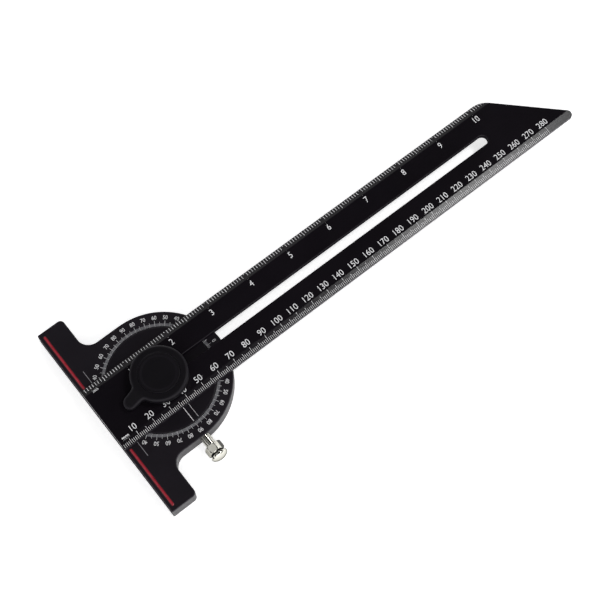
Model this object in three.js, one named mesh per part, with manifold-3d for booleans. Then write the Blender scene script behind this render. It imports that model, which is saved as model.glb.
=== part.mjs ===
// A sliding bevel with a protractor: a T-shaped stock, a turret let into it, a slotted blade that lies
// across both, a lock lever over the pivot and a spring index plunger in the stock's side.
// Millimetres. The origin is on the pivot axis at the stock's underside, +X runs along the blade
// towards its tip, +Y towards the blade's inch edge, and +Z up through the lock lever.

import * as THREE from "three";
import { mergeVertices } from "three/addons/utils/BufferGeometryUtils.js";
import Module from "manifold-3d";

const wasm = await Module();
wasm.setup();

// ---- driving dimensions ----

const gap = 0.3; // the clearance between neighbouring pieces

const stockSize = {
  thickness: 10,
  headLength: 116, // along the reference face
  wingWidth: 15,
  faceToPivot: 35.6, // from the reference face to the pivot axis
  bossRadius: 36.5,
  filletRadius: 7, // where the boss meets the wings
  tipRadius: 2.5, // the wings' inner end corners
  edgeChamfer: 0.5,
};

const bladeSize = {
  width: 38,
  thickness: 3,
  endToTipCut: 281.5, // from the reference face to the 45 degree cut, along the centre line
  tipCornerRadius: 2.3,
  backCornerRadius: 11,
  bevelWidth: 4, // of the two sloping edges that carry the scales
  bevelDrop: 1.1,
  slotWidth: 6,
  slotStart: -12.2, // the slot's near end, under the lever
  slotEnd: 216,
};

const turretSize = {
  radius: 28,
  flangeBottom: 3.9,
  hubRadius: 20,
  hubBottom: 2.1,
  stopAngle: 15, // degrees between two stops
  stopDepth: 0.9,
  stopRadius: 1.5, // at the mouth of the cone that the index pin's nose drops into
  stopTipRadius: 0.4, // at the cone's blunt end
};

const guidePinSize = { radius: 2.7, offset: 9, bottom: 6.3, top: 13.1, chamfer: 0.4 };

const retainerSize = {
  radius: 26,
  thickness: 1.8,
  screwCircle: 15,
  screwCount: 4,
  screwHeadRadius: 2.4,
  screwHeadDepth: 1.2,
  screwHeadLand: 0.2, // the straight part of the head, below its cone
  screwRadius: 1.1,
  screwLength: 6.5,
  crossWidth: 0.6,
  crossLength: 3,
  crossDepth: 0.6,
};

const boltSize = { shankRadius: 2.7, hexAcrossFlats: 10, headThickness: 1.8, top: 18.9, chamfer: 0.5 };

const leverSize = {
  bottom: 13.8,
  top: 20.6,
  radius: 14.8,
  rimChamfer: 1.5,
  baseInset: 1.4, // the hub narrows by this at its foot
  baseHeight: 3,
  tabEnd: 23.4, // from the pivot to the tab's end
  tabRootHalf: 5.2, // half of the tab's width at the pivot
  tabEndRadius: 3.6,
  tabDrop: 0.4, // from the hub's top to the tab's, where they meet
  tabEndTop: 17.2, // height of the tab's sloping top at its end
  tabAngle: 188, // degrees from +X
  washerRoomRadius: 8.8,
  washerRoomTop: 16.2,
  capRadius: 10.6,
  capRoomDepth: 1.2,
  capChamfer: 0.4,
};

const insertSize = { radius: 5, bottom: 16.5, top: 19 };
const frictionWasherSize = { innerRadius: 3, outerRadius: 8.4, thickness: 0.8 };
const springWasherSize = { innerRadius: 3.1, outerRadius: 7, thickness: 0.5, rise: 0.5 };

const inlaySize = { width: 1.6, depth: 0.8, fromFace: 2.55, start: 19.4, end: 55.6 };

const plungerSize = {
  height: 5.5, // of its axis above the underside
  sleeveRadius: 2.65,
  sleeveInner: 30.6,
  hexInner: 42,
  hexOuter: 46.6,
  hexAcrossFlats: 8.2,
  hexTurn: 15, // degrees that the top flat leans towards -X, as the thread left it
  springRoomRadius: 1.9,
  springRoomOuter: 43.2,
  pinRadius: 1.2,
  pinRoomInner: 26, // the index pin's bore opens into the turret's room
  pinTip: 28.35,
  collarRadius: 1.6,
  collarThickness: 1,
  collarPlay: 0.05, // between the collar and the sleeve's inner end
  stemRadius: 0.9,
  stemEnd: 48.7,
  knobInner: 46.9,
  knobOuter: 50.6,
  knobRadius: 4.5,
  knobNeckRadius: 3,
  knobNeckLength: 0.6,
  knobRim: 0.4,
  knobDome: 2.4,
  wireRadius: 0.2,
  coilRadius: 1.4,
  coilTurns: 6,
};

const roundSteps = 72;
const smallSteps = 24;
const beyond = 1; // how far a cutting solid passes the face that it cuts
const stockTop = stockSize.thickness;
const bladeBottom = stockTop + gap;
const bladeTop = bladeBottom + bladeSize.thickness;
const radians = THREE.MathUtils.degToRad;

// ---- solids ----

// A geometry as a manifold solid: only positions, with shared corners merged.
function toSolid(geometry) {
  const bare = new THREE.BufferGeometry();
  bare.setAttribute("position", geometry.getAttribute("position").clone());
  if (geometry.index) {
    bare.setIndex(geometry.index.clone());
  }
  const merged = mergeVertices(bare, 1e-5);
  return new wasm.Manifold(
    new wasm.Mesh({
      numProp: 3,
      vertProperties: new Float32Array(merged.getAttribute("position").array),
      triVerts: new Uint32Array(merged.index.array),
    }),
  );
}

// A manifold solid as a geometry that three.js can show.
function toGeometry(solid) {
  const mesh = solid.getMesh();
  const geometry = new THREE.BufferGeometry();
  geometry.setAttribute("position", new THREE.BufferAttribute(mesh.vertProperties, 3));
  geometry.setIndex(new THREE.BufferAttribute(mesh.triVerts, 1));
  geometry.computeVertexNormals();
  return geometry;
}

// A round solid about +Z from [radius, z] corners, given from the bottom up and closed on the axis.
function turned(corners, steps = roundSteps) {
  const profile = [[0, corners[0][1]], ...corners, [0, corners[corners.length - 1][1]]];
  const points = profile.map(([radius, z]) => new THREE.Vector2(radius, z));
  const geometry = new THREE.LatheGeometry(points, steps);
  geometry.rotateX(Math.PI / 2);
  return toSolid(geometry);
}

function cylinder(radius, bottom, top, steps = roundSteps) {
  return turned([[radius, bottom], [radius, top]], steps);
}

function ring(innerRadius, outerRadius, bottom, top, steps = roundSteps) {
  return cylinder(outerRadius, bottom, top, steps).subtract(
    cylinder(innerRadius, bottom - beyond, top + beyond, steps),
  );
}

// An outline of [x, y] points pushed up from bottom to top.
function extruded(outline, bottom, top) {
  const shape = new THREE.Shape(outline.map(([x, y]) => new THREE.Vector2(x, y)));
  const geometry = new THREE.ExtrudeGeometry(shape, { depth: top - bottom, bevelEnabled: false });
  geometry.translate(0, 0, bottom);
  return toSolid(geometry);
}

function block(width, depth, height, centre) {
  const geometry = new THREE.BoxGeometry(width, depth, height);
  geometry.translate(...centre);
  return toSolid(geometry);
}

// A hexagonal prism about +Z with two of its flats facing up and down the Y axis.
function hexagon(acrossFlats, bottom, top) {
  return cylinder(acrossFlats / Math.sqrt(3), bottom, top, 6).rotate([0, 0, 30]);
}

// Points of an arc, its ends included, anticlockwise when the end angle is the larger one.
function arc(x, y, radius, fromDegrees, toDegrees, steps) {
  const points = [];
  for (let i = 0; i <= steps; i += 1) {
    const angle = radians(fromDegrees + ((toDegrees - fromDegrees) * i) / steps);
    points.push([x + radius * Math.cos(angle), y + radius * Math.sin(angle)]);
  }
  return points;
}

// A solid through several outlines of equally many points, each at its own height.
function lofted(layers) {
  const count = layers[0].outline.length;
  const positions = layers.flatMap(({ outline, z }) => outline.flatMap(([x, y]) => [x, y, z]));
  const faces = [];
  for (let layer = 0; layer + 1 < layers.length; layer += 1) {
    for (let i = 0; i < count; i += 1) {
      const a = layer * count + i;
      const b = layer * count + ((i + 1) % count);
      faces.push(a, b, b + count, a, b + count, a + count);
    }
  }
  const asVectors = (outline) => outline.map(([x, y]) => new THREE.Vector2(x, y));
  const last = layers.length - 1;
  for (const [a, b, c] of THREE.ShapeUtils.triangulateShape(asVectors(layers[0].outline), [])) {
    faces.push(a, c, b);
  }
  for (const [a, b, c] of THREE.ShapeUtils.triangulateShape(asVectors(layers[last].outline), [])) {
    faces.push(last * count + a, last * count + b, last * count + c);
  }
  const geometry = new THREE.BufferGeometry();
  geometry.setAttribute("position", new THREE.Float32BufferAttribute(positions, 3));
  geometry.setIndex(faces);
  return toSolid(geometry);
}

// Lays a solid made about +Z along -Y instead, at the plunger's height, as the plunger's pieces lie.
function alongPlunger(solid) {
  return solid.rotate([90, 0, 0]).translate([0, 0, plungerSize.height]);
}

// ---- the stock and what is fixed to it ----

// The T-shaped outline, anticlockwise, drawn in by `inset` on every side.
function stockOutline(inset) {
  const { headLength, wingWidth, faceToPivot, bossRadius, filletRadius, tipRadius } = stockSize;
  const face = -faceToPivot + inset;
  const wingInner = -faceToPivot + wingWidth - inset;
  const tip = headLength / 2 - inset;
  const boss = bossRadius - inset;
  const corner = tipRadius - inset;
  const fillet = filletRadius + inset;
  const filletX = wingInner + fillet;
  const filletY = boss + fillet;
  const lowerHalf = [
    [face, -tip],
    ...arc(wingInner - corner, -tip + corner, corner, -90, 0, 6),
    ...arc(filletX, -filletY, fillet, 180, 90, 10),
    ...arc(0, 0, boss, -90, 0, 20),
  ];
  const upperHalf = lowerHalf
    .slice(0, -1)
    .map(([x, y]) => [x, -y])
    .reverse();
  return [...lowerHalf, ...upperHalf];
}

// A bar with round ends on one wing: an inlay, or its groove where `growth` widens it all round.
function inlayBar(side, growth, bottom, top) {
  const x = -stockSize.faceToPivot + inlaySize.fromFace;
  const half = inlaySize.width / 2;
  const radius = half + growth;
  const bar = extruded(
    [
      ...arc(x, inlaySize.end - half, radius, 0, 180, 8),
      ...arc(x, inlaySize.start + half, radius, 180, 360, 8),
    ],
    bottom,
    top,
  );
  return side > 0 ? bar : bar.mirror([0, 1, 0]);
}

function stock() {
  const { edgeChamfer } = stockSize;
  const sharp = stockOutline(0);
  const drawnIn = stockOutline(edgeChamfer);
  const body = lofted([
    { outline: drawnIn, z: 0 },
    { outline: sharp, z: edgeChamfer },
    { outline: sharp, z: stockTop - edgeChamfer },
    { outline: drawnIn, z: stockTop },
  ]);
  const turretRoom = turned([
    [retainerSize.radius + gap, -beyond],
    [retainerSize.radius + gap, turretSize.hubBottom],
    [turretSize.hubRadius + gap, turretSize.hubBottom],
    [turretSize.hubRadius + gap, turretSize.flangeBottom - gap],
    [turretSize.radius + gap, turretSize.flangeBottom - gap],
    [turretSize.radius + gap, stockTop + beyond],
  ]);
  const sleeveRoom = cylinder(
    plungerSize.sleeveRadius + gap,
    plungerSize.sleeveInner - gap,
    stockSize.bossRadius + beyond,
    smallSteps,
  );
  const pinRoom = cylinder(
    plungerSize.pinRadius + gap,
    plungerSize.pinRoomInner,
    plungerSize.sleeveInner,
    smallSteps,
  );
  const grooveBottom = stockTop - inlaySize.depth - gap;
  return body
    .subtract(turretRoom)
    .subtract(alongPlunger(sleeveRoom.add(pinRoom)))
    .subtract(inlayBar(1, gap, grooveBottom, stockTop + beyond))
    .subtract(inlayBar(-1, gap, grooveBottom, stockTop + beyond));
}

function inlay(side) {
  return inlayBar(side, 0, stockTop - inlaySize.depth, stockTop);
}

// ---- the turret, what clamps it and what holds it in ----

function turretDisc() {
  const { radius, flangeBottom, hubRadius, hubBottom, stopDepth, stopRadius, stopTipRadius } =
    turretSize;
  let disc = turned([
    [hubRadius, hubBottom + gap],
    [hubRadius, flangeBottom],
    [radius, flangeBottom],
    [radius, stockTop],
  ]);
  const boltRoom = cylinder(boltSize.shankRadius + gap, 0, stockTop + beyond, smallSteps);
  disc = disc.subtract(boltRoom);
  for (const side of [-1, 1]) {
    const pinRoom = cylinder(
      guidePinSize.radius + gap,
      guidePinSize.bottom - gap,
      stockTop + beyond,
      smallSteps,
    );
    disc = disc.subtract(pinRoom.translate([side * guidePinSize.offset, 0, 0]));
  }
  for (let i = 0; i < retainerSize.screwCount; i += 1) {
    disc = disc.subtract(onScrewCircle(retainerScrewRoom(), i));
  }
  const stopCone = [
    [stopTipRadius, radius - stopDepth],
    [stopRadius, radius + gap],
  ];
  const stopHole = alongPlunger(turned(stopCone, smallSteps / 2));
  for (let angle = 0; angle < 360; angle += turretSize.stopAngle) {
    disc = disc.subtract(stopHole.rotate([0, 0, angle]));
  }
  return disc;
}

function guidePin(side) {
  const { radius, offset, bottom, top, chamfer } = guidePinSize;
  return turned(
    [
      [radius - chamfer, bottom],
      [radius, bottom + chamfer],
      [radius, top - chamfer],
      [radius - chamfer, top],
    ],
    smallSteps,
  ).translate([side * offset, 0, 0]);
}

function onScrewCircle(solid, index) {
  const angle = 45 + (360 * index) / retainerSize.screwCount;
  return solid.translate([retainerSize.screwCircle, 0, 0]).rotate([0, 0, angle]);
}

// A countersunk screw seen from its head up, `growth` larger all round where it makes its own hole.
function countersunk(growth) {
  const { screwHeadRadius, screwHeadDepth, screwHeadLand, screwRadius, screwLength } = retainerSize;
  return turned(
    [
      [screwHeadRadius + growth, growth > 0 ? -beyond : 0],
      [screwHeadRadius + growth, growth > 0 ? growth : screwHeadLand],
      [screwRadius + growth, screwHeadDepth + growth],
      [screwRadius + growth, screwLength + growth],
    ],
    smallSteps,
  );
}

function retainerScrewRoom() {
  return countersunk(gap);
}

function retainerScrew(index) {
  const { crossWidth, crossLength, crossDepth } = retainerSize;
  const bar = block(crossLength, crossWidth, 2 * crossDepth, [0, 0, 0]);
  const crossSlot = bar.add(bar.rotate([0, 0, 90]));
  return onScrewCircle(countersunk(0).subtract(crossSlot), index);
}

function retainerPlate() {
  let plate = cylinder(retainerSize.radius, 0, retainerSize.thickness);
  const headRoomTop = retainerSize.thickness + beyond;
  plate = plate.subtract(hexagon(boltSize.hexAcrossFlats + 2 * gap, -beyond, headRoomTop));
  for (let i = 0; i < retainerSize.screwCount; i += 1) {
    plate = plate.subtract(onScrewCircle(retainerScrewRoom(), i));
  }
  return plate;
}

function clampBolt() {
  const { shankRadius, hexAcrossFlats, headThickness, top, chamfer } = boltSize;
  const shank = turned(
    [
      [shankRadius, headThickness / 2],
      [shankRadius, top - chamfer],
      [shankRadius - chamfer, top],
    ],
    smallSteps,
  );
  return hexagon(hexAcrossFlats, 0, headThickness).add(shank);
}

// ---- the blade ----

// The blade's outline, anticlockwise. The tip's corner turns through 135 degrees, the back one 45.
function bladeOutline() {
  const { width, endToTipCut, tipCornerRadius, backCornerRadius } = bladeSize;
  const near = -stockSize.faceToPivot;
  const half = width / 2;
  const cut = near + endToTipCut; // the cut runs where x + y is this
  const tipX = cut + half - tipCornerRadius * (1 + Math.SQRT2);
  const backX = cut - half - backCornerRadius * (Math.SQRT2 - 1);
  return [
    [near, -half],
    ...arc(tipX, tipCornerRadius - half, tipCornerRadius, -90, 45, 12),
    ...arc(backX, half - backCornerRadius, backCornerRadius, 45, 90, 8),
    [near, half],
  ];
}

// What a sloping edge takes away: a wedge along the whole blade, whose section is drawn in y and z.
function edgeWedge(side) {
  const { width, bevelWidth, bevelDrop, endToTipCut } = bladeSize;
  const inner = width / 2 - bevelWidth;
  const reach = bevelWidth + beyond;
  const section = new THREE.Shape([
    new THREE.Vector2(inner, bladeTop),
    new THREE.Vector2(inner + reach, bladeTop - (bevelDrop * reach) / bevelWidth),
    new THREE.Vector2(inner + reach, bladeTop + beyond),
    new THREE.Vector2(inner, bladeTop + beyond),
  ]);
  const length = endToTipCut + width + 2 * beyond;
  const geometry = new THREE.ExtrudeGeometry(section, { depth: length, bevelEnabled: false });
  // Turns the section's own x, y and depth into y, z and x.
  geometry.applyMatrix4(new THREE.Matrix4().set(0, 0, 1, 0, 1, 0, 0, 0, 0, 1, 0, 0, 0, 0, 0, 1));
  geometry.translate(-stockSize.faceToPivot - beyond, 0, 0);
  const wedge = toSolid(geometry);
  return side > 0 ? wedge : wedge.mirror([0, 1, 0]);
}

function blade() {
  const { slotWidth, slotStart, slotEnd } = bladeSize;
  const half = slotWidth / 2;
  const slot = [
    ...arc(slotEnd - half, 0, half, -90, 90, 16),
    ...arc(slotStart + half, 0, half, 90, 270, 16),
  ];
  return extruded(bladeOutline(), bladeBottom, bladeTop)
    .subtract(edgeWedge(1))
    .subtract(edgeWedge(-1))
    .subtract(extruded(slot, bladeBottom - beyond, bladeTop + beyond));
}

// ---- the lock lever ----

// The hub, whose foot and rim are drawn in, and a tab that narrows and slopes down to its round end.
function lockLever() {
  const { bottom, top, radius, rimChamfer, baseInset, baseHeight } = leverSize;
  const hub = turned([
    [radius - baseInset, bottom],
    [radius, bottom + baseHeight],
    [radius, top - rimChamfer],
    [radius - rimChamfer, top],
  ]);
  const room = turned([
    [leverSize.washerRoomRadius, bottom - beyond],
    [leverSize.washerRoomRadius, leverSize.washerRoomTop],
    [insertSize.radius + gap, leverSize.washerRoomTop],
    [insertSize.radius + gap, top - leverSize.capRoomDepth - gap],
    [leverSize.capRadius + gap, top - leverSize.capRoomDepth - gap],
    [leverSize.capRadius + gap, top + beyond],
  ]);
  return hub.add(leverTab()).subtract(room).rotate([0, 0, leverSize.tabAngle]);
}

function leverTab() {
  const { bottom, top, radius, tabEnd, tabRootHalf, tabEndRadius, tabDrop, tabEndTop } = leverSize;
  const plan = [
    [0, -tabRootHalf],
    ...arc(tabEnd - tabEndRadius, 0, tabEndRadius, -85, 85, 16),
    [0, tabRootHalf],
  ];
  const slope = new THREE.Shape([
    new THREE.Vector2(0, bottom),
    new THREE.Vector2(tabEnd + beyond, bottom),
    new THREE.Vector2(tabEnd + beyond, tabEndTop),
    new THREE.Vector2(radius, top - tabDrop),
    new THREE.Vector2(0, top - tabDrop),
  ]);
  const half = tabRootHalf + beyond;
  const side = new THREE.ExtrudeGeometry(slope, { depth: 2 * half, bevelEnabled: false });
  side.rotateX(Math.PI / 2);
  side.translate(0, half, 0);
  return extruded(plan, bottom, top).intersect(toSolid(side));
}

function leverInsert() {
  return ring(boltSize.shankRadius + gap, insertSize.radius, insertSize.bottom, insertSize.top, 36);
}

function leverCap() {
  const { top, capRadius, capRoomDepth, capChamfer } = leverSize;
  return turned([
    [capRadius, top - capRoomDepth],
    [capRadius, top - capChamfer],
    [capRadius - capChamfer, top],
  ]);
}

function frictionWasher() {
  const { innerRadius, outerRadius, thickness } = frictionWasherSize;
  const bottom = bladeTop + gap;
  return ring(innerRadius, outerRadius, bottom, bottom + thickness, 48);
}

// A shallow cone of even thickness, open in the middle.
function springWasher() {
  const { innerRadius, outerRadius, thickness, rise } = springWasherSize;
  const bottom = bladeTop + gap + frictionWasherSize.thickness + gap;
  const corners = [
    [outerRadius, bottom],
    [outerRadius, bottom + thickness],
    [innerRadius, bottom + thickness + rise],
    [innerRadius, bottom + rise],
    [outerRadius, bottom],
  ];
  const points = corners.map(([radius, z]) => new THREE.Vector2(radius, z));
  const geometry = new THREE.LatheGeometry(points, 48);
  geometry.rotateX(Math.PI / 2);
  return toSolid(geometry);
}

// ---- the index plunger ----

function plungerSleeve() {
  const { sleeveRadius, sleeveInner, hexInner, hexOuter, hexAcrossFlats, hexTurn } = plungerSize;
  const outside = cylinder(sleeveRadius, sleeveInner, hexInner + beyond, 32).add(
    hexagon(hexAcrossFlats, hexInner, hexOuter).rotate([0, 0, hexTurn]),
  );
  const springRoom = cylinder(
    plungerSize.springRoomRadius,
    sleeveInner - beyond,
    plungerSize.springRoomOuter,
    smallSteps,
  );
  const stemRoom = cylinder(
    plungerSize.stemRadius + gap,
    sleeveInner,
    hexOuter + beyond,
    smallSteps,
  );
  return alongPlunger(outside.subtract(springRoom).subtract(stemRoom));
}

function indexPin() {
  const { pinRadius, pinTip, collarRadius, collarThickness, stemRadius, stemEnd } = plungerSize;
  const collarInner = plungerSize.sleeveInner + plungerSize.collarPlay;
  const nose = arc(0, pinTip + pinRadius, pinRadius, -80, 0, 4);
  return alongPlunger(
    turned(
      [
        ...nose,
        [pinRadius, collarInner],
        [collarRadius, collarInner],
        [collarRadius, collarInner + collarThickness],
        [stemRadius, collarInner + collarThickness],
        [stemRadius, stemEnd],
      ],
      16,
    ),
  );
}

class Helix extends THREE.Curve {
  constructor(radius, start, length, turns) {
    super();
    Object.assign(this, { radius, start, length, turns });
  }

  getPoint(t, target = new THREE.Vector3()) {
    const angle = 2 * Math.PI * this.turns * t;
    return target.set(
      this.radius * Math.cos(angle),
      this.radius * Math.sin(angle),
      this.start + this.length * t,
    );
  }
}

function plungerSpring() {
  const { wireRadius, coilRadius, coilTurns, sleeveInner, collarPlay, collarThickness } = plungerSize;
  const start = sleeveInner + collarPlay + collarThickness + gap + wireRadius;
  const end = plungerSize.springRoomOuter - gap - wireRadius;
  const wire = new THREE.Shape();
  wire.absarc(0, 0, wireRadius, 0, 2 * Math.PI);
  const geometry = new THREE.ExtrudeGeometry(wire, {
    extrudePath: new Helix(coilRadius, start, end - start, coilTurns),
    steps: coilTurns * 12,
    curveSegments: 3,
    bevelEnabled: false,
  });
  return alongPlunger(toSolid(geometry));
}

// A pull knob: a short neck, a rim and a dome whose outline is a quarter of an ellipse.
function plungerKnob() {
  const { knobInner, knobOuter, knobRadius, knobNeckRadius, knobNeckLength, knobRim, knobDome } =
    plungerSize;
  const { stemRadius, stemEnd } = plungerSize;
  const neckEnd = knobInner + knobNeckLength;
  const domeSteps = 6;
  const dome = [];
  for (let i = 0; i < domeSteps; i += 1) {
    const angle = (Math.PI / 2) * (i / (domeSteps - 0.5));
    dome.push([
      knobRadius * Math.cos(angle),
      knobOuter - knobDome * (1 - Math.sin(angle)),
    ]);
  }
  const knob = turned(
    [
      [knobNeckRadius, knobInner],
      [knobNeckRadius, neckEnd],
      [knobRadius - knobRim, neckEnd],
      [knobRadius, neckEnd + knobRim],
      ...dome,
    ],
    32,
  );
  return alongPlunger(
    knob.subtract(cylinder(stemRadius + gap, knobInner - beyond, stemEnd + gap, smallSteps)),
  );
}

// ---- the assembly ----

const finishes = {
  anodised: { color: 0x14121a, roughness: 0.45, metalness: 0.6 },
  redFill: { color: 0xc41c30, roughness: 0.3, metalness: 0 },
  steel: { color: 0x9a9a9c, roughness: 0.35, metalness: 1 },
  nickel: { color: 0xd8d6cc, roughness: 0.15, metalness: 1 },
  moulding: { color: 0x17151a, roughness: 0.5, metalness: 0 },
  brass: { color: 0xc8a050, roughness: 0.35, metalness: 1 },
  nylon: { color: 0xe8e4d8, roughness: 0.6, metalness: 0 },
};

const group = new THREE.Group();
group.name = "sliding_bevel";

function place(name, solid, finish) {
  const material = new THREE.MeshStandardMaterial(finishes[finish]);
  const mesh = new THREE.Mesh(toGeometry(solid), material);
  mesh.name = name;
  group.add(mesh);
}

place("stock", stock(), "anodised");
place("upper_red_inlay", inlay(1), "redFill");
place("lower_red_inlay", inlay(-1), "redFill");

place("turret_disc", turretDisc(), "anodised");
place("front_guide_pin", guidePin(1), "steel");
place("rear_guide_pin", guidePin(-1), "steel");
place("retainer_plate", retainerPlate(), "steel");
for (let i = 0; i < retainerSize.screwCount; i += 1) {
  place(`retainer_screw_${i + 1}`, retainerScrew(i), "steel");
}
place("clamp_bolt", clampBolt(), "steel");

place("blade", blade(), "anodised");

place("friction_washer", frictionWasher(), "nylon");
place("spring_washer", springWasher(), "steel");
place("lock_lever", lockLever(), "moulding");
place("lever_insert", leverInsert(), "brass");
place("lever_cap", leverCap(), "moulding");

place("plunger_sleeve", plungerSleeve(), "nickel");
place("index_pin", indexPin(), "steel");
place("plunger_spring", plungerSpring(), "steel");
place("plunger_knob", plungerKnob(), "nickel");

export default group;
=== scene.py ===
import math

import bmesh
import bpy
import numpy as np
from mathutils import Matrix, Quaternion, Vector, geometry


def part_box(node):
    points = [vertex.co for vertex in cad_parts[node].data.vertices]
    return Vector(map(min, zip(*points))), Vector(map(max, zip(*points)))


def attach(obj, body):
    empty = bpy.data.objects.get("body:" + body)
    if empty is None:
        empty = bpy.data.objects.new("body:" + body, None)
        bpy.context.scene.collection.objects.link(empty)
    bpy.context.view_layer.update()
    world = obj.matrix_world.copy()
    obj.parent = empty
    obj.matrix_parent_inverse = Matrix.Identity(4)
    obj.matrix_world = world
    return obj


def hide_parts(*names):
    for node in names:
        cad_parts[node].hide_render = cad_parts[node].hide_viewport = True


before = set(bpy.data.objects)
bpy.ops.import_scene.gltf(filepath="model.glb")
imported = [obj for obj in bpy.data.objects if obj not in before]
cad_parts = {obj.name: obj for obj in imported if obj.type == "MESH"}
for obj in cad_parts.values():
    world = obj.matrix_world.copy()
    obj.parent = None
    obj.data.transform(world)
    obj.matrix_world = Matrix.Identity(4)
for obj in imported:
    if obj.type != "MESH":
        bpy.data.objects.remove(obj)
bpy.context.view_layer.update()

mm = 0.001

# The measures that every piece is worked out from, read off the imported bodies.
stockLow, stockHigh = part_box("stock")
bladeLow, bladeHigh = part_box("blade")
discLow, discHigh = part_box("turret_disc")
leverLow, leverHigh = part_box("lock_lever")
capLow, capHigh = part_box("lever_cap")
sleeveLow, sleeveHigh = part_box("plunger_sleeve")
knobLow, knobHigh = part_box("plunger_knob")
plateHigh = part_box("retainer_plate")[1]
inlayLow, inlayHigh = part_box("upper_red_inlay")

faceX = stockLow.x  # the reference face, where both scales start
stockTop = stockHigh.z
bladeTop = bladeHigh.z
bladeHalf = bladeHigh.y
discRadius = discHigh.x

camera = {
    "lens": 80.86,
    "place": (-0.06926, -0.21354, 0.65215),
    "aim": (0.08021, -0.01107, 0.0133),
    "roll": -2.06,  # degrees, about the line of sight
}


def makeCamera():
    data = bpy.data.cameras.new("camera")
    data.lens = camera["lens"]
    data.sensor_width = 36
    data.clip_start = 0.01
    seen = bpy.data.objects.new("camera", data)
    bpy.context.scene.collection.objects.link(seen)
    place = Vector(camera["place"])
    seen.rotation_mode = "QUATERNION"
    seen.location = place
    turn = (Vector(camera["aim"]) - place).to_track_quat("-Z", "Y")
    seen.rotation_quaternion = turn @ Quaternion((0, 0, 1), math.radians(camera["roll"]))
    bpy.context.scene.camera = seen


lights = {
    # name: (what it faces, direction towards it, distance, width, height, radiance)
    "scaleLight": ((0.185, -0.017, 0.012), (0.36, -0.22, 0.906), 1.3, 0.26, 0.26, 22.5),
    "overLight": ((0.0, 0.0, 0.012), (-0.42, 0.27, 0.87), 1.2, 0.55, 0.55, 0.62),
    "backLight": ((0.1, 0.0, 0.012), (0.25, 0.75, 0.62), 1.3, 0.9, 0.5, 0.9),
    "frontLight": ((0.1, 0.0, 0.012), (-0.30, -0.72, 0.62), 1.4, 1.5, 0.9, 2.0),
}


def makeLights():
    # A lamp's watts are its radiance times its area times pi.
    for name, (aim, way, distance, width, height, radiance) in lights.items():
        data = bpy.data.lights.new(name, "AREA")
        data.shape = "RECTANGLE"
        data.size, data.size_y = width, height
        data.energy = radiance * width * height * math.pi
        lamp = bpy.data.objects.new(name, data)
        bpy.context.scene.collection.objects.link(lamp)
        lamp.location = Vector(aim) + Vector(way).normalized() * distance
        lamp.rotation_euler = (-Vector(way)).to_track_quat("-Z", "Y").to_euler()


studio = {
    "skyHorizon": 1.8,
    "skyTop": 0.02,
    "skyFade": 0.6,  # sine of the height where the sky has gone dark
    "floorHalf": 6.0,
    "floorDrop": 0.2 * mm,
    "floorColour": (0.93, 0.93, 0.935),
    "floorGlow": 0.60,
}


def makeWorld():
    # The sky is pale near the floor and dark overhead, like a room round a light table.
    world = bpy.data.worlds.new("studio")
    bpy.context.scene.world = world
    world.use_nodes = True
    tree = world.node_tree
    tree.nodes.clear()
    out = tree.nodes.new("ShaderNodeOutputWorld")
    back = tree.nodes.new("ShaderNodeBackground")
    coord = tree.nodes.new("ShaderNodeTexCoord")
    split = tree.nodes.new("ShaderNodeSeparateXYZ")
    ramp = tree.nodes.new("ShaderNodeValToRGB")
    stops = ((0.02, studio["skyHorizon"]), (studio["skyFade"], studio["skyTop"]))
    for element, (place, tone) in zip(ramp.color_ramp.elements, stops):
        element.position = place
        element.color = (tone, tone, tone, 1)
    tree.links.new(coord.outputs["Generated"], split.inputs[0])
    tree.links.new(split.outputs["Z"], ramp.inputs[0])
    tree.links.new(ramp.outputs[0], back.inputs[0])
    tree.links.new(back.outputs[0], out.inputs[0])


def makeFloor():
    half = studio["floorHalf"]
    low = -studio["floorDrop"]
    corners = [(-half, -half, low), (half, -half, low), (half, half, low), (-half, half, low)]
    mesh = bpy.data.meshes.new("floor")
    mesh.from_pydata(corners, [], [(0, 1, 2, 3)])
    floor = bpy.data.objects.new("floor", mesh)
    bpy.context.scene.collection.objects.link(floor)
    paint = bpy.data.materials.new("paleFloor")
    paint.use_nodes = True
    shader = paint.node_tree.nodes["Principled BSDF"]
    shader.inputs["Base Color"].default_value = (*studio["floorColour"], 1)
    shader.inputs["Roughness"].default_value = 0.9
    shader.inputs["Specular IOR Level"].default_value = 0.0
    shader.inputs["Emission Color"].default_value = (1, 1, 1, 1)
    shader.inputs["Emission Strength"].default_value = studio["floorGlow"]
    mesh.materials.append(paint)


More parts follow.
